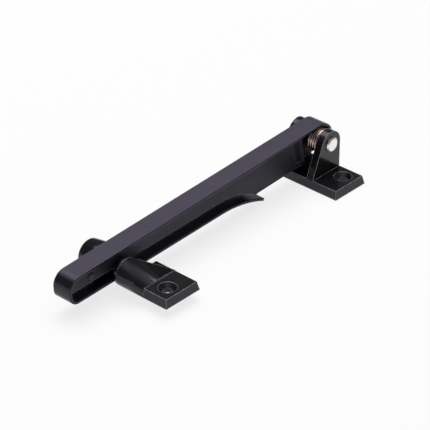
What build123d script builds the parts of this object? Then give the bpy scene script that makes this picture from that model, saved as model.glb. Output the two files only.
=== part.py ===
from build123d import *
import os
from math import asin, atan2, cos, degrees, radians, sin, tan

# Safety latch for a window: a slotted arm on a sprung two-eared hinge bracket, held by a headed
# stud on a second bracket. Millimetres. The origin is the middle of the hinge bracket's underside.
# X runs from the stud end to the hinge end, -Y faces the room and Z is up.

# Hinge bracket
plate_width = 20.0
plate_thickness = 4.0
plate_bevel = 0.85
hinge_plate_length = 48.0
ear_thickness = 3.6
ear_radius = 6.2
pivot_height = 17.6

# Countersunk screw holes for 4 mm wood screws
screw_hole_radius = 2.2
screw_head_radius = 4.1
screw_head_angle = 90
hinge_screw_inset = 6.8
stud_screw_inset = 6.8
stud_screw_from_left = 8.0

# Pivot pin and its fits
pin_radius = 2.5
pin_head_radius = 3.5
pin_head_height = 1.1
pin_tail_radius = 3.3
pin_tail_height = 0.9
pin_running_clearance = 0.07
pin_ear_clearance = 0.03
side_clearance = 0.1

# Arm, drawn along the arm from the pivot and square to it
arm_pitch = 2.4
arm_reach = 156.4
arm_width = 9.8
barrel_radius = 7.75
body_depth = 7.4
wall = 1.35
top_corner_radius = 6.0
toe_corner_radius = 4.8
web_recess = 0.8
web_thickness = 2.0
lip_thickness = 1.5
edge_round = 0.35
flange_end_angle = -28
core_rib_thickness = 1.4
core_rib_count = 4
pip_radius = 1.6
pip_height = 0.7
pip_from_toe = 12.8
pip_above = 4.0

# Slot and tongue
slot_height = 4.6
slot_fall = 0.9
slot_drop_at_pivot = 3.6
tongue_thickness = 1.35
bend_start = -66.5
web_bend_radius = 44.0
web_bend_end = -42.6
tongue_bend_radius = 66.0
tongue_end = -38.8

# Recess at the hinge end of the web
web_end_top = -12.4
web_end_foot = -10.4
dish_depth = 0.9
dish_rib = 1.1
dish_top_width = 5.4
dish_foot_width = 4.2
dish_foot_height = -5.2

# Hub and torsion spring
hub_length = 4.9
nose_radius = 3.7
spring_wire = 1.15
spring_mean_radius = 5.05
spring_turns = 4.25
spring_end_gap = 0.15
spring_coil_gap = 0.12
spring_arm_leg = 9.0
spring_start_angle = 90
spring_foot_gap = 0.2
hub_block_end = -9.6

# Thrust washer between the arm and the back ear
washer_thickness = 0.6
washer_radius = 5.6

# Stud bracket
stud_from_toe = 29.9
stud_plate_length = 24.6
boss_from_left = 2.6
boss_radius = 6.35
step_length = 13.0
step_height = 0.35
boss_lip = 1.6
boss_round = 0.6

# Stud, with the knob behind the arm, and the bush on its neck
neck_radius = 1.5
neck_seat_depth = 4.5
neck_fit_clearance = 0.02
bush_radius = 2.2
bush_bore_clearance = 0.06
bush_flange_radius = 3.4
bush_flange_thickness = 0.7
bush_end_gap = 0.1
knob_gap = 0.4
knob_radius = 6.3
knob_end_radius = 5.3
knob_length = 8.6
knob_skirt = 1.6
knob_round = 1.5

# Places worked out from the sizes
pivot_x = plate_width / 2 - plate_bevel - ear_radius
spring_pitch = spring_wire + spring_coil_gap
spring_room = spring_turns * spring_pitch + spring_wire + 2 * spring_end_gap
arm_stack = hub_length + spring_room + washer_thickness + 2 * side_clearance
ear_gap = arm_stack + side_clearance
ear_inner = ear_gap / 2
arm_back = ear_inner - washer_thickness - 2 * side_clearance
arm_front = arm_back - arm_width
hub_front = arm_back - hub_length
web_face = arm_front + web_recess
barrel_inner = barrel_radius - wall
plate_taper = degrees(atan2(plate_bevel, plate_thickness))
slot_slope = tan(radians(slot_fall))
left_end = -arm_reach
left_inner = left_end + wall
stud_along = left_end + stud_from_toe
pip_along = left_end + pip_from_toe


def slot_point(along, offset=0.0):
    """Point on the slot's centre line, or offset up from it, in the arm's own axes."""
    return (along, -slot_drop_at_pivot - slot_slope * along + offset)


def arm_plane(depth):
    """Plane across the arm at a depth, X along the arm from the pivot, facing the room."""
    lean = radians(arm_pitch)
    return Plane(origin=(pivot_x, depth, pivot_height), x_dir=(cos(lean), 0, sin(lean)), z_dir=(0, -1, 0))


def arm_to_part(along, above):
    """X and Z of a point given along the arm and above its pivot line."""
    lean = radians(arm_pitch)
    x = pivot_x + along * cos(lean) - above * sin(lean)
    z = pivot_height + along * sin(lean) + above * cos(lean)
    return x, z


slot_top = slot_height / 2
tongue_top = -slot_height / 2
tongue_bottom = tongue_top - tongue_thickness
stud_x, stud_z = arm_to_part(*slot_point(stud_along))

pivot_axis = Axis((pivot_x, 0, pivot_height), (0, 1, 0))
pivot_section = Plane(origin=(pivot_x, 0, pivot_height))

# Hinge bracket: a bevelled plate with two ears and two countersunk holes
with BuildPart() as hinge_bracket:
    with BuildSketch():
        Rectangle(plate_width, hinge_plate_length)
    extrude(amount=plate_thickness, taper=plate_taper)
    for side in (-1, 1):
        front_of_ear = ear_inner if side > 0 else -ear_inner - ear_thickness
        with BuildSketch(Plane(origin=(0, front_of_ear + ear_thickness, 0), x_dir=(1, 0, 0), z_dir=(0, -1, 0))):
            with Locations((pivot_x, pivot_height)):
                Circle(ear_radius)
            with Locations((0, plate_thickness - plate_bevel)):
                Rectangle(plate_width - 2 * plate_bevel, 2 * plate_bevel)
            make_hull()
        extrude(amount=ear_thickness)
    with BuildSketch(Plane(origin=(pivot_x, hinge_plate_length, pivot_height), z_dir=(0, -1, 0))):
        Circle(pin_radius + pin_ear_clearance)
    extrude(amount=2 * hinge_plate_length, mode=Mode.SUBTRACT)
    screw_y = hinge_plate_length / 2 - hinge_screw_inset
    with Locations((pivot_x, -screw_y, plate_thickness), (pivot_x, screw_y, plate_thickness)):
        CounterSinkHole(screw_hole_radius, screw_head_radius, plate_thickness, screw_head_angle)
hinge_bracket.part.label = "hinge_bracket"

# Pivot pin: a rivet with a low domed head on the room side and a peened tail
head_seat = -ear_inner - ear_thickness
tail_seat = ear_inner + ear_thickness
with BuildPart() as pivot_pin:
    with BuildSketch(pivot_section):
        with BuildLine():
            Polyline(
                (0, head_seat - pin_head_height),
                (pin_head_radius - 0.6, head_seat - pin_head_height),
                (pin_head_radius, head_seat - pin_head_height + 0.5),
                (pin_head_radius, head_seat),
                (pin_radius, head_seat),
                (pin_radius, tail_seat),
                (pin_tail_radius, tail_seat),
                (pin_tail_radius - 0.5, tail_seat + pin_tail_height),
                (0, tail_seat + pin_tail_height),
                close=True,
            )
        make_face()
    revolve(axis=pivot_axis)
pivot_pin.part.label = "pivot_pin"

# Outlines of the arm, seen square from the room side, in the arm's own axes
toe = slot_point(left_end, tongue_bottom)
inner_toe = slot_point(left_inner, tongue_top)
web_bend_turn = degrees(asin((web_bend_end - bend_start) / web_bend_radius))
tongue_bend_turn = degrees(asin((tongue_end - bend_start) / tongue_bend_radius))
run = (1, -slot_slope)

with BuildSketch() as body_outline:
    with BuildLine():
        web_bend = JernArc(slot_point(bend_start, slot_top), run, web_bend_radius, -web_bend_turn)
        Polyline(
            web_bend @ 1,
            (web_bend_end + 1, -body_depth),
            (0, -body_depth),
            (0, barrel_radius),
            (left_end, barrel_radius),
            toe,
            slot_point(bend_start, tongue_bottom),
            web_bend @ 0,
        )
    make_face()
    fillet(body_outline.vertices().sort_by_distance((left_end, barrel_radius))[0], top_corner_radius)
    fillet(body_outline.vertices().sort_by_distance(toe)[0], toe_corner_radius)

with BuildSketch() as slot_outline:
    with BuildLine():
        Polyline(
            slot_point(left_inner, slot_top),
            slot_point(bend_start, slot_top),
            slot_point(bend_start, tongue_top),
            inner_toe,
            close=True,
        )
    make_face()
    fillet(slot_outline.vertices().sort_by_distance(inner_toe)[0], toe_corner_radius - wall)

with BuildSketch() as tongue_outline:
    with BuildLine():
        under = JernArc(slot_point(bend_start, tongue_bottom), run, tongue_bend_radius, -tongue_bend_turn)
        over_radius = tongue_bend_radius + tongue_thickness
        over = JernArc(slot_point(bend_start, tongue_top), run, over_radius, -tongue_bend_turn)
        Line(under @ 0, over @ 0)
        Line(under @ 1, over @ 1)
    make_face()

# Everything of the web that lies behind the front rim, down to the middle of the slot
with BuildSketch() as web_outline:
    with BuildLine():
        web_bend_edge = JernArc(slot_point(bend_start, 0), run, web_bend_radius, -web_bend_turn)
        Polyline(
            web_bend_edge @ 1,
            (web_end_foot, (web_bend_edge @ 1).Y),
            (web_end_foot, -body_depth),
            (web_end_top, barrel_inner),
            (left_inner, barrel_inner),
            slot_point(left_inner, 0),
            web_bend_edge @ 0,
        )
    make_face()
    fillet(web_outline.vertices().sort_by_distance((left_inner, barrel_inner))[0], top_corner_radius - wall)

# Arm: a cast lever with a top flange that wraps the pivot, a set-back web and a springy tongue
with BuildPart() as arm:
    with BuildSketch(arm_plane(arm_back)):
        add(body_outline.sketch)
        Circle(barrel_radius)
        add(slot_outline.sketch, mode=Mode.SUBTRACT)
        add(tongue_outline.sketch)
    extrude(amount=arm_width)
    # The web stands back from the rim
    with BuildSketch(arm_plane(web_face)):
        add(web_outline.sketch)
    extrude(amount=2 * web_recess, mode=Mode.SUBTRACT)
    # Dished recess with a rib at the web's end
    with BuildSketch(arm_plane(web_face + dish_depth)):
        with BuildLine():
            Polyline(
                (web_end_top - dish_rib, barrel_inner),
                (web_end_foot - dish_rib, dish_foot_height),
                (web_end_foot - dish_rib - dish_foot_width, dish_foot_height),
                (web_end_top - dish_rib - dish_top_width, barrel_inner),
                close=True,
            )
        make_face()
    extrude(amount=dish_depth + web_recess, mode=Mode.SUBTRACT)
    # Room for the spring under the flange, in front of the hub
    flange_end = Vector(barrel_inner, 0).rotate(Axis.Z, flange_end_angle)
    flange_tip = Vector(2 * barrel_radius, 0).rotate(Axis.Z, flange_end_angle)
    with BuildSketch(arm_plane(hub_front)):
        with BuildLine():
            Polyline(
                (flange_end.X, flange_end.Y),
                (flange_tip.X, flange_tip.Y),
                (flange_tip.X, -2 * body_depth),
                (web_end_foot, -2 * body_depth),
                (web_end_foot, -body_depth),
                (web_end_top, barrel_inner),
                (0, barrel_inner),
            )
            RadiusArc((0, barrel_inner), (flange_end.X, flange_end.Y), barrel_inner)
        make_face()
        Circle(nose_radius, mode=Mode.SUBTRACT)
    extrude(amount=arm_width, mode=Mode.SUBTRACT)
    # Back of the web: pockets between ribs, with a lip along the slot and a solid hub
    with BuildSketch(arm_plane(arm_back)):
        with BuildLine():
            lip_start = slot_point(bend_start, slot_top + lip_thickness)
            lip_bend = JernArc(lip_start, run, web_bend_radius + lip_thickness, -web_bend_turn)
            Polyline(
                lip_bend @ 1,
                (web_bend_end + 2 * wall, wall - body_depth),
                (hub_block_end, wall - body_depth),
                (hub_block_end, barrel_inner),
                (left_inner, barrel_inner),
                slot_point(left_inner, slot_top + lip_thickness),
                lip_start,
            )
        make_face()
        rib_pitch = (hub_block_end - left_inner) / (core_rib_count + 1)
        with Locations(*[(left_inner + rib_pitch * (n + 1), 0) for n in range(core_rib_count)]):
            Rectangle(core_rib_thickness, 3 * barrel_radius, mode=Mode.SUBTRACT)
    extrude(amount=arm_width - web_recess - web_thickness, mode=Mode.SUBTRACT)
    with BuildSketch(arm_plane(arm_back)):
        Circle(pin_radius + pin_running_clearance)
    extrude(amount=arm_width + web_recess, mode=Mode.SUBTRACT)
    # Round stop pip near the toe
    with BuildSketch(arm_plane(web_face)):
        with Locations((pip_along, pip_above)):
            Circle(pip_radius)
    extrude(amount=pip_height)
    pip_rim = arm.edges().filter_by(GeomType.CIRCLE).sort_by_distance(
        arm_plane(web_face - pip_height).from_local_coords((pip_along, pip_above))
    )[0]
    fillet(pip_rim, 0.8 * pip_height)
    rim_edges = arm.faces().sort_by(Axis.Y)[0].edges()
    fillet(rim_edges, edge_round)
    fillet(arm.faces().sort_by(Axis.Y)[-1].outer_wire().edges(), edge_round)
arm.part.label = "arm"

# Torsion spring round the hub's nose: one leg stands on the plate, the other bears under the flange
spring_start = -ear_inner + spring_end_gap + spring_wire / 2
plate_leg = pivot_height - plate_thickness - spring_wire / 2 - spring_foot_gap
coil = Location((pivot_x, spring_start, pivot_height), (0, spring_start_angle, 0)) * Helix(
    spring_pitch, spring_turns * spring_pitch, spring_mean_radius, direction=(0, 1, 0), lefthand=True
)
down = Vector(0, 0, -1)
outward = Vector(-1, 0, 0)
with BuildPart() as torsion_spring:
    with BuildLine() as spring_path:
        Line((coil @ 0) + down * plate_leg, coil @ 0)
        add(coil)
        Line(coil @ 1, (coil @ 1) + outward * spring_arm_leg)
    with BuildSketch(Plane(origin=(coil @ 0) + down * plate_leg, z_dir=(0, 0, 1))):
        Circle(spring_wire / 2)
    sweep(path=spring_path.line)
torsion_spring.part.label = "torsion_spring"

# Thrust washer between the arm and the back ear
washer_front = arm_back + side_clearance
with BuildPart() as thrust_washer:
    with BuildSketch(Plane(origin=(pivot_x, washer_front + washer_thickness, pivot_height), z_dir=(0, -1, 0))):
        Circle(washer_radius)
        Circle(pin_radius + pin_running_clearance, mode=Mode.SUBTRACT)
    extrude(amount=washer_thickness)
thrust_washer.part.label = "thrust_washer"

# Stud bracket: a bevelled plate whose back swells from a full-width step into a round boss
boss_end = arm_front - bush_flange_thickness - 2 * bush_end_gap
bracket_front = boss_end - boss_lip - stud_plate_length
bracket_left = stud_x - boss_from_left
bracket_base = stud_z - boss_radius
step_y = bracket_front + step_length
swell_height = plate_thickness + step_height
swell_inset = plate_bevel * swell_height / plate_thickness
with BuildPart() as stud_bracket:
    with BuildSketch(Plane.XY.offset(bracket_base)):
        with Locations((bracket_left + plate_width / 2, bracket_front + stud_plate_length / 2)):
            Rectangle(plate_width, stud_plate_length)
    extrude(amount=plate_thickness, taper=plate_taper)
    with BuildSketch(Plane(origin=(bracket_left, step_y, bracket_base), x_dir=(1, 0, 0), z_dir=(0, -1, 0))):
        with BuildLine():
            Polyline(
                (plate_width - swell_inset, swell_height),
                (swell_inset, swell_height),
                (0, 0),
                (plate_width, 0),
                close=True,
            )
        make_face()
    with BuildSketch(Plane(origin=(stud_x, boss_end - boss_lip, stud_z), x_dir=(1, 0, 0), z_dir=(0, -1, 0))):
        with BuildLine():
            corners = [(boss_radius * cos(radians(a)), boss_radius * sin(radians(a))) for a in (45, 135, 225, 315)]
            for corner, following in zip(corners, corners[1:] + corners[:1]):
                RadiusArc(corner, following, -boss_radius)
        make_face()
    loft(ruled=True)
    with BuildSketch(Plane(origin=(stud_x, boss_end, stud_z), z_dir=(0, -1, 0))):
        Circle(boss_radius)
    extrude(amount=boss_lip)
    boss_rim = stud_bracket.faces().sort_by(Axis.Y)[-1].outer_wire().edges()
    fillet(boss_rim, boss_round)
    hole_place = (bracket_left + stud_screw_from_left, bracket_front + stud_screw_inset)
    with Locations((hole_place[0], hole_place[1], bracket_base + plate_thickness)):
        CounterSinkHole(screw_hole_radius, screw_head_radius, plate_thickness, screw_head_angle)
    with BuildSketch(Plane(origin=(stud_x, boss_end, stud_z), z_dir=(0, -1, 0))):
        Circle(neck_radius + neck_fit_clearance)
    extrude(amount=neck_seat_depth, mode=Mode.SUBTRACT)
stud_bracket.part.label = "stud_bracket"

# Stud: a turned neck through the slot, ending in a knob that is wider than the slot
stud_axis = Axis((stud_x, 0, stud_z), (0, 1, 0))
stud_section = Plane(origin=(stud_x, 0, stud_z))
knob_front = arm_back + knob_gap
knob_back = knob_front + knob_length
with BuildPart() as stud:
    with BuildSketch(stud_section) as knob_sketch:
        with BuildLine():
            Polyline(
                (0, boss_end - neck_seat_depth),
                (neck_radius, boss_end - neck_seat_depth),
                (neck_radius, knob_front),
                (knob_radius, knob_front),
                (knob_radius, knob_front + knob_skirt),
                (knob_end_radius, knob_back),
                (0, knob_back),
                close=True,
            )
        make_face()
        knob_corners = knob_sketch.vertices().filter_by(lambda v: v.Y > knob_front and v.X > neck_radius)
        fillet(knob_corners, knob_round)
    revolve(axis=stud_axis)
stud.part.label = "stud"

# Bush: a flanged nylon sleeve that turns on the neck and slides in the slot
with BuildPart() as glide_bush:
    flange_front = boss_end + bush_end_gap
    bush_bore = neck_radius + bush_bore_clearance
    with BuildSketch(stud_section):
        with BuildLine():
            Polyline(
                (bush_bore, flange_front),
                (bush_flange_radius, flange_front),
                (bush_flange_radius, flange_front + bush_flange_thickness),
                (bush_radius, flange_front + bush_flange_thickness),
                (bush_radius, knob_front - bush_end_gap),
                (bush_bore, knob_front - bush_end_gap),
                close=True,
            )
        make_face()
    revolve(axis=stud_axis)
glide_bush.part.label = "glide_bush"

os.makedirs("parts", exist_ok=True)
for piece in (hinge_bracket, pivot_pin, torsion_spring, thrust_washer, arm, stud_bracket, stud, glide_bush):
    export_step(piece.part, f"parts/{piece.part.label}.step")
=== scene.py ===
"""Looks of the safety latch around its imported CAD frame. Metres, in the CAD's own frame."""
import math

import bmesh
import bpy
from mathutils import Euler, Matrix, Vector

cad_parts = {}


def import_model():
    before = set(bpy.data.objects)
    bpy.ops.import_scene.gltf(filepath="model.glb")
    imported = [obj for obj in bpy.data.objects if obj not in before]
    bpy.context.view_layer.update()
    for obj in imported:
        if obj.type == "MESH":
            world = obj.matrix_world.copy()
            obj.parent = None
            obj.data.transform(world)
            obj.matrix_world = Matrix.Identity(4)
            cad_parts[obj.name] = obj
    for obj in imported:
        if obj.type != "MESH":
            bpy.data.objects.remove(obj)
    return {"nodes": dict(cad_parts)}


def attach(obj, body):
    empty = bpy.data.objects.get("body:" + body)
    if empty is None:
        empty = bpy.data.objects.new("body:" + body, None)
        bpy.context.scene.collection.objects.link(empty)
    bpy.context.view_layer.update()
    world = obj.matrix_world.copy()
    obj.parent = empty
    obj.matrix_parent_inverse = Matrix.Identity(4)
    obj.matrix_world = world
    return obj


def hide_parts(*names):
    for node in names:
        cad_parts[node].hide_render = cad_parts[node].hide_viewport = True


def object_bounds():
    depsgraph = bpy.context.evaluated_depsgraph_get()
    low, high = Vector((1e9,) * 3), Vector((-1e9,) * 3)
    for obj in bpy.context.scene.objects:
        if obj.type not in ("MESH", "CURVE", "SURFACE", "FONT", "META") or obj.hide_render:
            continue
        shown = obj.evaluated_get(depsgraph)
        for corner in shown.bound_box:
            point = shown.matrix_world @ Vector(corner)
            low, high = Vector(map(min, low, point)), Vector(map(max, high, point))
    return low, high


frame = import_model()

CAD_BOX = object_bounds()

# Camera: the photograph's viewing angle and distance, in degrees and metres, lens in millimetres
CAMERA_AZIMUTH = -47.711
CAMERA_ELEVATION = 32.117
CAMERA_PLACE = (-0.67964, -0.56155, 0.53070)
CAMERA_LENS = 192.56
CAMERA_SENSOR = 36.0
CAMERA_CLIP = (0.01, 20.0)

# Floor: its own finish, and the share of plain white that the eye sees over it
FLOOR_SIZE = 6.0
FLOOR_COLOUR = (0.90, 0.90, 0.90)
FLOOR_ROUGHNESS = 0.9
FLOOR_WHITE_SHARE = 0.78

# Key lamp: large and soft, high above the latch and a little behind it
KEY_PLACE = (0.10, 0.35, 1.25)
KEY_AIM = (-0.07, 0, 0)
KEY_SIZE = (1.1, 0.9)
KEY_POWER = 8.0

# Studio world: a dim surround that brightens overhead, with a soft window behind on the right.
# SURROUND_RISE is the span of upward directions over which it brightens. WINDOW_EDGE is the span
# of cosines, measured from the window's middle, over which the window fades out.
SURROUND_LOW = 0.16
SURROUND_HIGH = 1.15
SURROUND_RISE = (0.68, 0.95)
WINDOW_TOWARDS = (0.345, 0.325, 0.881)
WINDOW_EDGE = (0.950, 0.972)
WINDOW_LIGHT = 2.2

# Arm's own axes in the part's frame, for what is fitted to the arm
PIVOT = (0.00295, 0.0, 0.0176)
ARM_PITCH = math.radians(2.4)

# Where the arm's masks begin and end: its web by depth and by how far a face turns to the room,
# its upper rail by level and by how far a face turns up
WEB_DEPTHS = (-0.0042, -0.0036)
WEB_FACING = (-0.5, -0.9)
RAIL_LEVELS = (0.0200, 0.0215)
RAIL_FACING = (0.78, 0.97)

# Corner wall at the toe. CORNER_CENTRE is given along the arm from the pivot and above it. The wall
# is flush for CORNER_FLAT degrees each side of its middle, and from there it sinks to its rim.
# CORNER_DEPTHS pairs each place across the arm with how far the wall sinks there.
CORNER_CENTRE = (-0.1504, 0.00175)
CORNER_OUTER = 0.006006
CORNER_INNER = 0.00462
CORNER_MIDDLE = 135.0
CORNER_FLAT = 9.0
CORNER_HALF = 26.0
CORNER_SINK = 0.00018
CORNER_DEPTHS = ((-0.0026, 0.00012), (-0.0019, 0.0), (0.0050, 0.0), (0.00525, 0.00003), (0.00547, 0.00022))
CORNER_STEPS = 36

# Stud: its axis, its neck from the seat in the boss, and its knob, whose lengths run along Y
STUD_X, STUD_Z = -0.123372, 0.010691
NECK_RADIUS = 0.0015
NECK_SEAT = -0.009676
KNOB_FRONT = 0.005924
KNOB_LENGTH = 0.0097
KNOB_SKIRT = 0.0018
KNOB_RADIUS = 0.0074
KNOB_END_RADIUS = 0.0065
KNOB_ROUND = 0.0015
KNOB_ROUND_STEPS = 8

# Boss swell on the stud bracket: the plate's section at the step, with its sides at its low and
# its high edge, and the boss's round lip
SWELL_STEP_Y = -0.018386
SWELL_LIP_Y = -0.006676
SWELL_LOW_Z = 0.004361
SWELL_HIGH_Z = 0.008701
SWELL_LEFT = (-0.125962, -0.125060)
SWELL_RIGHT = (-0.105982, -0.106884)
SWELL_RADIUS = 0.006362

# Sides of the round pieces, and the sharpest edges that are shaded smooth
ROUND_SIDES = 96
SMOOTH_ANGLE = math.radians(30)
SWELL_SMOOTH_ANGLE = math.radians(24)

# Noise: the weight of its finer octaves, and the spans of its value that are stretched over a range
NOISE_ROUGHNESS = 0.55
NOISE_WHOLE = (0.0, 1.0)
NOISE_WIDE = (0.25, 0.75)
NOISE_MIDDLE = (0.3, 0.7)
NOISE_TIGHT = (0.35, 0.65)
NOISE_UPPER = (0.35, 0.75)
MASK = (0.0, 1.0)

# Castings' edges: the radius that the eye reads there. An edge is painted with a highlight by the cosine
# between its softened normal and the face's own.
EDGE_SOFTNESS = 0.00028
EDGE_SAMPLES = 8
HIGHLIGHT_COSINES = (0.88, 0.99)
HIGHLIGHT_SHARE = (0.5, 1.0)
HIGHLIGHT_SAMPLES = 6

# Enamel's noises, each as grains to a metre and detail, with the spread of roughness between
# patches and the depths of the bumps
MOTTLING = (90.0, 3.0)
PATCHES = (160.0, 5.0)
PATCH_GLOSSIER, PATCH_DULLER = 0.04, 0.05
# Noise that breaks up the painted edge highlights
HIGHLIGHT_BREAKUP = (700.0, 2.0)
CAST_GRAIN = (1500.0, 4.0)
SKIN_GRAIN = (2200.0, 2.0)
SKIN_DEPTH = 0.00003
SKIN_WAVES = (260.0, 2.0)
WAVE_DEPTH = 0.00006

# The arm's upper rail, painted lighter with a painted sheen and made rougher, and its duller web: linear
# colours, and what each adds to the roughness
PAINTED_TOP_SHEEN = (0.050, 0.045, 0.065)
PAINTED_TOP_SHEEN_WARM = (0.058, 0.052, 0.071)
TOP_DULLNESS = 0.16
RECESS_BLACK = (0.0040, 0.0038, 0.0048)
RECESS_GREY = (0.0170, 0.0165, 0.0185)
RECESS_DULLNESS = 0.26

# Enamels, with linear colours. The colour after the mottled one is a painted highlight along the edges, and
# the width after it is how far in from an edge it is painted; grain is the strength of its bumps, and gloss
# is the specular level.
ARM_ENAMEL = dict(
    base=(0.0080, 0.0072, 0.0096),
    mottled=(0.0115, 0.0105, 0.0130),
    # Painted highlight along the arm's edges, and how far in it is painted
    edge_highlight=(0.20, 0.19, 0.215),
    highlight_width=0.0004,
    roughness=0.19,
    grain=0.22,
    gloss=0.33,
    tint=(0.76, 0.66, 1.0),
)
BRACKET_ENAMEL = dict(
    base=(0.0070, 0.0066, 0.0082),
    mottled=(0.0100, 0.0094, 0.0110),
    # Painted highlight along the brackets' edges, and how far in it is painted
    edge_highlight=(0.46, 0.45, 0.47),
    highlight_width=0.0005,
    roughness=0.16,
    grain=0.20,
    gloss=0.42,
    tint=(0.90, 0.86, 1.0),
)
KNOB_ENAMEL = dict(
    BRACKET_ENAMEL,
    base=(0.0045, 0.0045, 0.0055),
    mottled=BRACKET_ENAMEL["base"],
    # The painted edge highlight runs narrower on the knob
    highlight_width=0.0003,
    roughness=0.12,
    grain=0.06,
)

# Finishes that one noise makes, with linear colours. noise is grains to a metre and detail, span and
# marks say how much of the marked colour shows, and depth and strength are the bump's.
BRIGHT_STEEL = dict(
    plain=(0.93, 0.89, 0.91),
    marked=(0.42, 0.40, 0.42),
    noise=(450.0, 3.0),
    stretch=(1, 0.1, 1),
    span=NOISE_UPPER,
    marks=(0.0, 0.3),
    roughness=(0.30, 0.40),
    depth=0.00001,
    strength=0.12,
    metallic=1.0,
)
COPPER_WIRE = dict(
    plain=(0.80, 0.63, 0.56),
    marked=(0.10, 0.055, 0.040),
    noise=(1500.0, 3.0),
    stretch=(1, 1, 1),
    span=NOISE_UPPER,
    marks=(0.0, 0.7),
    roughness=(0.18, 0.34),
    depth=0.00002,
    strength=0.4,
    metallic=1.0,
)
DARK_NYLON = dict(
    plain=(0.012, 0.013, 0.018),
    marked=(0.020, 0.020, 0.026),
    noise=(600.0, 4.0),
    stretch=(1, 1, 1),
    span=NOISE_WHOLE,
    marks=(0.0, 1.0),
    roughness=(0.48, 0.60),
    depth=0.00003,
    strength=0.4,
    metallic=0.0,
)


class NodeTree:
    """Small helper that adds and joins shader nodes."""

    def __init__(self, tree):
        self.tree = tree

    def fill(self, node, inputs):
        """Gives a node its inputs, by name or number: each is joined to an output, or set to a value."""
        for key, value in inputs.items():
            socket = node.inputs[key]
            if isinstance(value, bpy.types.NodeSocket):
                self.tree.links.new(value, socket)
            elif socket.type == "RGBA":
                socket.default_value = (*value, 1)
            else:
                socket.default_value = value

    def add(self, kind, inputs=None, **settings):
        node = self.tree.nodes.new(kind)
        for key, value in settings.items():
            setattr(node, key, value)
        self.fill(node, inputs or {})
        return node

    def maths(self, operation, *values):
        return self.add("ShaderNodeMath", dict(enumerate(values)), operation=operation).outputs[0]

    def dot(self, first, second):
        node = self.add("ShaderNodeVectorMath", {0: first, 1: second}, operation="DOT_PRODUCT")
        return node.outputs["Value"]

    def axis(self, vector, letter):
        return self.add("ShaderNodeSeparateXYZ", {"Vector": vector}).outputs[letter]

    def remap(self, value, span, to, smooth=False):
        """Stretches one span of values over another, which it doesn't leave."""
        node = self.add(
            "ShaderNodeMapRange",
            {"Value": value, "From Min": span[0], "From Max": span[1], "To Min": to[0], "To Max": to[1]},
            interpolation_type="SMOOTHSTEP" if smooth else "LINEAR",
        )
        return node.outputs["Result"]

    def mix(self, factor, first, second):
        """Mixes two colours. The node has more sockets, so its numbers say which are meant."""
        return self.add("ShaderNodeMix", {0: factor, 6: first, 7: second}, data_type="RGBA").outputs[2]


class MaterialNodes(NodeTree):
    """A new material with its shader, and what surfaces need of nodes."""

    def __init__(self, name):
        self.material = bpy.data.materials.new(name)
        self.material.use_nodes = True
        super().__init__(self.material.node_tree)
        self.shader = self.tree.nodes["Principled BSDF"]

    def noise(self, scale, detail, stretch=(1, 1, 1)):
        """Noise in the part's own space, so it moves with the piece."""
        place = self.add("ShaderNodeTexCoord").outputs["Object"]
        stretched = self.add("ShaderNodeMapping", {"Vector": place, "Scale": stretch}).outputs["Vector"]
        inputs = {"Vector": stretched, "Scale": scale, "Detail": detail, "Roughness": NOISE_ROUGHNESS}
        return self.add("ShaderNodeTexNoise", inputs).outputs["Fac"]

    def bump(self, height, depth, strength, under=None):
        """A normal bumped by a height, on top of another normal where one is given."""
        node = self.add("ShaderNodeBump", {"Height": height, "Distance": depth, "Strength": strength})
        if under is not None:
            self.fill(node, {"Normal": under})
        return node.outputs["Normal"]

    def softened(self, radius, samples):
        """The normal as edges of this radius would turn it."""
        return self.add("ShaderNodeBevel", {"Radius": radius}, samples=samples).outputs["Normal"]

    def edges(self, radius):
        """A mask of edges, where the softened normal turns away from the face's own, for the painted edge
        highlight.
        """
        own = self.add("ShaderNodeNewGeometry").outputs["Normal"]
        return self.remap(self.dot(self.softened(radius, HIGHLIGHT_SAMPLES), own), HIGHLIGHT_COSINES, (1.0, 0.0))


def set_back_web(m):
    """A mask of the arm's web, whose front face is set back behind the arm's outer faces."""
    place = m.add("ShaderNodeTexCoord").outputs
    behind = m.remap(m.axis(place["Object"], "Y"), WEB_DEPTHS, MASK)
    towards = m.remap(m.axis(place["Normal"], "Y"), WEB_FACING, MASK)
    return m.maths("MULTIPLY", behind, towards)


def upper_rail(m):
    """A mask of the arm's upward faces, which get a painted sheen and are rougher where its sides are
    glossy.
    """
    place = m.add("ShaderNodeTexCoord").outputs
    level = m.dot(place["Object"], (-math.tan(ARM_PITCH), 0, 1))
    high = m.remap(level, RAIL_LEVELS, MASK)
    upward = m.remap(m.axis(place["Normal"], "Z"), RAIL_FACING, MASK)
    return m.maths("MULTIPLY", high, upward)


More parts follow.
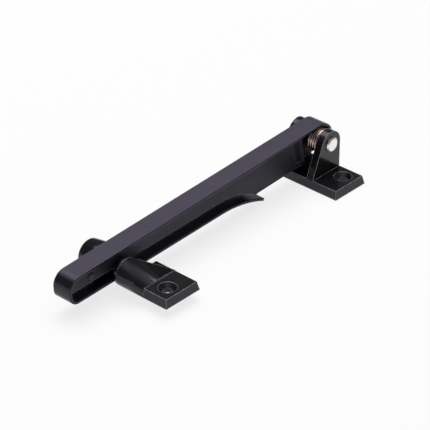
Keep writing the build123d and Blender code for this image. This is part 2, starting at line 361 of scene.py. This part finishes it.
def enamel(name, base, mottled, edge_highlight, highlight_width, roughness, grain, gloss, tint, rail=None, recess=None):
    """Glossy black enamel: faintly mottled and patchy, finely bumped, with a painted highlight along its
    softened edges.

    rail and recess make the masks of where it gets a painted sheen and is rougher, and of where it is dull
    with a cast grain.
    """
    m = MaterialNodes(name)
    mottling = m.noise(*MOTTLING)
    colour = m.mix(mottling, base, mottled)
    finish = m.remap(m.noise(*PATCHES), NOISE_WIDE, (roughness - PATCH_GLOSSIER, roughness + PATCH_DULLER))
    if rail is not None:
        # Painted sheen on the rail's upward faces, which are also rougher
        top_sheen_mask = rail(m)
        colour = m.mix(top_sheen_mask, colour, m.mix(mottling, PAINTED_TOP_SHEEN, PAINTED_TOP_SHEEN_WARM))
        finish = m.maths("MULTIPLY_ADD", top_sheen_mask, TOP_DULLNESS, finish)
    if recess is not None:
        dull = recess(m)
        cast = m.remap(m.noise(*CAST_GRAIN), NOISE_TIGHT, MASK)
        colour = m.mix(dull, colour, m.mix(cast, RECESS_BLACK, RECESS_GREY))
        finish = m.maths("MULTIPLY_ADD", dull, RECESS_DULLNESS, finish)
    # Painted highlight along the softened edges, broken up by a noise
    highlight_gaps = m.remap(m.noise(*HIGHLIGHT_BREAKUP), NOISE_MIDDLE, HIGHLIGHT_SHARE)
    painted_highlight = m.maths("MULTIPLY", m.edges(highlight_width), highlight_gaps)
    soft = m.softened(EDGE_SOFTNESS, EDGE_SAMPLES)
    skin = m.bump(m.noise(*SKIN_GRAIN), SKIN_DEPTH, grain, under=soft)
    m.fill(m.shader, {
        "Base Color": m.mix(painted_highlight, colour, edge_highlight),
        "Roughness": finish,
        "Normal": m.bump(m.noise(*SKIN_WAVES), WAVE_DEPTH, grain, under=skin),
        "Specular IOR Level": gloss,
        "Specular Tint": tint,
    })
    return m.material


def grained(name, plain, marked, noise, stretch, span, marks, roughness, depth, strength, metallic):
    """A finish whose one grain marks its colour, its roughness and its skin."""
    m = MaterialNodes(name)
    grain = m.noise(*noise, stretch)
    m.fill(m.shader, {
        "Base Color": m.mix(m.remap(grain, span, marks), plain, marked),
        "Roughness": m.remap(grain, NOISE_MIDDLE, roughness),
        "Normal": m.bump(grain, depth, strength),
        "Metallic": metallic,
    })
    return m.material


def dress(node, material):
    """Gives a CAD node its material."""
    piece = frame["nodes"][node]
    piece.data.materials.clear()
    piece.data.materials.append(material)


def floor():
    """A plain pale floor, lifted towards white where it is seen, that keeps its shadow."""
    half = FLOOR_SIZE / 2
    low = CAD_BOX[0][2]
    corners = [(-half, -half, low), (half, -half, low), (half, half, low), (-half, half, low)]
    mesh = bpy.data.meshes.new("floor")
    mesh.from_pydata(corners, [], [(0, 1, 2, 3)])
    plane = bpy.data.objects.new("floor", mesh)
    bpy.context.scene.collection.objects.link(plane)
    m = MaterialNodes("floor_look")
    m.fill(m.shader, {"Base Color": FLOOR_COLOUR, "Roughness": FLOOR_ROUGHNESS})
    rays = m.add("ShaderNodeLightPath").outputs
    seen = m.maths("MAXIMUM", rays["Is Camera Ray"], rays["Is Glossy Ray"])
    seen = m.maths("MAXIMUM", seen, rays["Is Transmission Ray"])
    lift = m.maths("MULTIPLY", seen, FLOOR_WHITE_SHARE)
    white = m.add("ShaderNodeEmission", {"Strength": 1.0}).outputs["Emission"]
    blend = m.add("ShaderNodeMixShader", {0: lift, 1: m.shader.outputs["BSDF"], 2: white})
    m.fill(m.tree.nodes["Material Output"], {"Surface": blend.outputs["Shader"]})
    mesh.materials.append(m.material)


def key_lamp():
    """The lamp that lights the latch from above."""
    lamp = bpy.data.lights.new("key", "AREA")
    lamp.shape = "RECTANGLE"
    lamp.size, lamp.size_y = KEY_SIZE
    lamp.energy = KEY_POWER
    body = bpy.data.objects.new("key", lamp)
    body.location = KEY_PLACE
    body.rotation_euler = (Vector(KEY_AIM) - Vector(KEY_PLACE)).to_track_quat("-Z", "Y").to_euler()
    bpy.context.scene.collection.objects.link(body)


def world():
    """A dim surround that brightens overhead, and a soft window behind on the right."""
    studio = bpy.data.worlds.new("studio")
    bpy.context.scene.world = studio
    studio.use_nodes = True
    n = NodeTree(studio.node_tree)
    towards = n.add("ShaderNodeTexCoord").outputs["Generated"]
    surround = n.remap(n.axis(towards, "Z"), SURROUND_RISE, (SURROUND_LOW, SURROUND_HIGH), smooth=True)
    window = n.remap(n.dot(towards, WINDOW_TOWARDS), WINDOW_EDGE, (0.0, WINDOW_LIGHT), smooth=True)
    light = n.maths("ADD", surround, window)
    n.fill(n.tree.nodes["Background"], {"Color": (1, 1, 1), "Strength": light})


def camera():
    """The camera at the photograph's viewing angle."""
    data = bpy.data.cameras.new("camera")
    data.sensor_width = CAMERA_SENSOR
    data.lens = CAMERA_LENS
    data.clip_start, data.clip_end = CAMERA_CLIP
    body = bpy.data.objects.new("camera", data)
    body.location = CAMERA_PLACE
    body.rotation_euler = Euler((math.radians(90 - CAMERA_ELEVATION), 0, math.radians(CAMERA_AZIMUTH)))
    bpy.context.scene.collection.objects.link(body)
    bpy.context.scene.camera = body


def arm_point(along, above, depth):
    """A place given along the arm from the pivot, above it and in depth, in the part's frame."""
    x = PIVOT[0] + along * math.cos(ARM_PITCH) - above * math.sin(ARM_PITCH)
    z = PIVOT[2] + along * math.sin(ARM_PITCH) + above * math.cos(ARM_PITCH)
    return x, depth, z


def stud_ring(radius, depth):
    """Places round the stud's axis at one depth, or the one place on the axis where the radius is 0."""
    if radius == 0.0:
        return [(STUD_X, depth, STUD_Z)]
    turns = [2 * math.pi * side / ROUND_SIDES for side in range(ROUND_SIDES)]
    return [(STUD_X + radius * math.cos(turn), depth, STUD_Z + radius * math.sin(turn)) for turn in turns]


def rounded(corner, before, after, radius, steps):
    """Points of an arc that rounds the corner between two straight runs of a profile."""
    corner, before, after = Vector(corner), Vector(before), Vector(after)
    back, on = (before - corner).normalized(), (after - corner).normalized()
    half = back.angle(on) / 2
    centre = corner + (back + on).normalized() * radius / math.sin(half)
    start = corner + back * radius / math.tan(half) - centre
    end = corner + on * radius / math.tan(half) - centre
    points = []
    for step in range(steps + 1):
        spoke = start.lerp(end, step / steps).normalized() * radius
        points.append(tuple(centre + spoke))
    return points


def bridge(work, rings):
    """Faces from each closed ring of vertices to the next. A ring of one vertex is a disc's middle."""
    for first, second in zip(rings, rings[1:]):
        count = max(len(first), len(second))
        for side in range(count):
            after = (side + 1) % count
            if len(first) == 1:
                work.faces.new((first[0], second[side], second[after]))
            elif len(second) == 1:
                work.faces.new((first[side], first[after], second[0]))
            else:
                work.faces.new((first[side], first[after], second[after], second[side]))


def piece_from(name, work, material, body, smooth=SMOOTH_ANGLE):
    """Turns a bmesh into a piece that rides on a body, with the edges under an angle shaded smooth."""
    bmesh.ops.recalc_face_normals(work, faces=work.faces)
    for face in work.faces:
        face.smooth = True
    for edge in work.edges:
        edge.smooth = len(edge.link_faces) == 2 and edge.calc_face_angle() < smooth
    mesh = bpy.data.meshes.new(name)
    work.to_mesh(mesh)
    work.free()
    mesh.materials.append(material)
    piece = bpy.data.objects.new(name, mesh)
    bpy.context.scene.collection.objects.link(piece)
    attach(piece, body)
    return piece


def knob(material):
    """The turned stud: a plain neck through the slot and a softly rounded, slightly tapered knob."""
    end = KNOB_FRONT + KNOB_LENGTH
    neck_end = (NECK_RADIUS, KNOB_FRONT)
    front_corner = (KNOB_RADIUS, KNOB_FRONT)
    skirt_end = (KNOB_RADIUS, KNOB_FRONT + KNOB_SKIRT + KNOB_ROUND)
    end_corner = (KNOB_END_RADIUS, end)
    end_middle = (0.0, end)
    profile = [(0.0, NECK_SEAT), (NECK_RADIUS, NECK_SEAT), neck_end]
    profile += rounded(front_corner, neck_end, skirt_end, KNOB_ROUND, KNOB_ROUND_STEPS)
    profile += [skirt_end]
    profile += rounded(end_corner, skirt_end, end_middle, KNOB_ROUND, KNOB_ROUND_STEPS)
    profile += [end_middle]
    work = bmesh.new()
    bridge(work, [[work.verts.new(place) for place in stud_ring(*point)] for point in profile])
    piece = piece_from("stud_knob", work, material, "stud_bracket")
    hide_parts("stud")


def boss_swell(material):
    """The bracket's full swell from its plate's step up to the round boss."""
    work = bmesh.new()
    for x, z in (
        (SWELL_LEFT[0], SWELL_LOW_Z), (SWELL_RIGHT[0], SWELL_LOW_Z),
        (SWELL_RIGHT[1], SWELL_HIGH_Z), (SWELL_LEFT[1], SWELL_HIGH_Z),
    ):
        work.verts.new((x, SWELL_STEP_Y, z))
    for place in stud_ring(SWELL_RADIUS, SWELL_LIP_Y):
        work.verts.new(place)
    hull = bmesh.ops.convex_hull(work, input=work.verts)
    unused = [v for v in hull["geom_interior"] + hull["geom_unused"] if isinstance(v, bmesh.types.BMVert)]
    bmesh.ops.delete(work, geom=unused, context="VERTS")
    piece_from("boss_swell", work, material, "stud_bracket", SWELL_SMOOTH_ANGLE)


def arm_corner_wall(material):
    """The wall round the arm's upper toe corner: flush over the core, and sunk in the casting at its rim."""
    work = bmesh.new()
    rings = []
    for step in range(CORNER_STEPS + 1):
        off_middle = CORNER_HALF * (2 * step / CORNER_STEPS - 1)
        turn = math.radians(CORNER_MIDDLE + off_middle)
        rim = max(0.0, (abs(off_middle) - CORNER_FLAT) / (CORNER_HALF - CORNER_FLAT))
        outer = [(CORNER_OUTER - sink - CORNER_SINK * rim * rim, depth) for depth, sink in CORNER_DEPTHS]
        inner = [(CORNER_INNER, depth) for depth, _ in reversed(CORNER_DEPTHS)]
        ring = []
        for radius, depth in outer + inner:
            along = CORNER_CENTRE[0] + radius * math.cos(turn)
            above = CORNER_CENTRE[1] + radius * math.sin(turn)
            ring.append(work.verts.new(arm_point(along, above, depth)))
        rings.append(ring)
    work.faces.new(rings[0])
    work.faces.new(rings[-1])
    bridge(work, rings)
    piece_from("arm_corner_wall", work, material, "arm")


arm_black = enamel("arm_cast_look", **ARM_ENAMEL, rail=upper_rail, recess=set_back_web)
bracket_black = enamel("bracket_cast_look", **BRACKET_ENAMEL)
knob_black = enamel("black_steel_look", **KNOB_ENAMEL)
steel = grained("bright_steel_look", **BRIGHT_STEEL)
copper = grained("copper_wire_look", **COPPER_WIRE)
nylon = grained("dark_nylon_look", **DARK_NYLON)

dress("arm", arm_black)
dress("hinge_bracket", bracket_black)
dress("stud_bracket", bracket_black)
dress("pivot_pin", steel)
dress("thrust_washer", steel)
dress("torsion_spring", copper)
dress("glide_bush", nylon)
arm_corner_wall(arm_black)
boss_swell(bracket_black)
knob(knob_black)

floor()
key_lamp()
world()
camera()
bpy.context.scene.view_settings.view_transform = "Standard"
